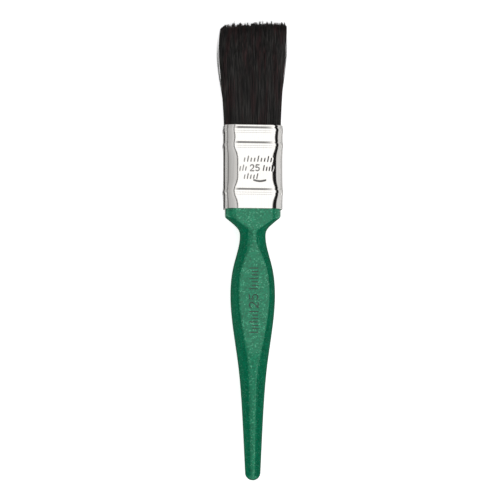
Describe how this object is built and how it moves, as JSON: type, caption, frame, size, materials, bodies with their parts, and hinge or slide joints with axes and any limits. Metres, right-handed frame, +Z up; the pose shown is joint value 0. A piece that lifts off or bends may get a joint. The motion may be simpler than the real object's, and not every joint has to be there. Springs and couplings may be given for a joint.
{
  "type": "flat paint brush",
  "caption": "Flat decorating brush: waisted green handle, bright beaded steel ferrule and flexing black bristle.",
  "frame": {"origin": "on the bench under the middle of the overall length, the brush lying on its broad back", "axes": "+Y along the brush towards the bristle tips, +X across its width, +Z up through its front face"},
  "size_m": [0.03, 0.2006, 0.0137],
  "materials": {
    "handle_lacquer": "gloss green lacquer with fine metallic flecks over turned hardwood",
    "ferrule_plating": "bright plated steel strip",
    "glue": "cured glue, translucent amber",
    "resin": "cast setting resin, dark amber",
    "plug_wood": "bare sawn softwood",
    "bristle": "black bristle, a slight sheen along its length"
  },
  "bodies": {
    "brush_body": {"handle": "handle_lacquer", "ferrule": "ferrule_plating", "handle_glue": "glue", "resin_block": "resin", "spacer_plug": "plug_wood", "bristle_root_front": "bristle", "bristle_root_back": "bristle"},
    "bristle_head": {"bristle_tuft_front": "bristle", "bristle_tuft_back": "bristle"}
  },
  "joints": [
    {"name": "bristle_bend", "type": "hinge", "parent": "brush_body", "child": "bristle_head", "pos_m": [0, 0.0619, 0.00685], "axis": [1, 0, 0], "range_deg": [-35, 35], "stiffness_Nm_per_rad": 0.25}
  ]
}
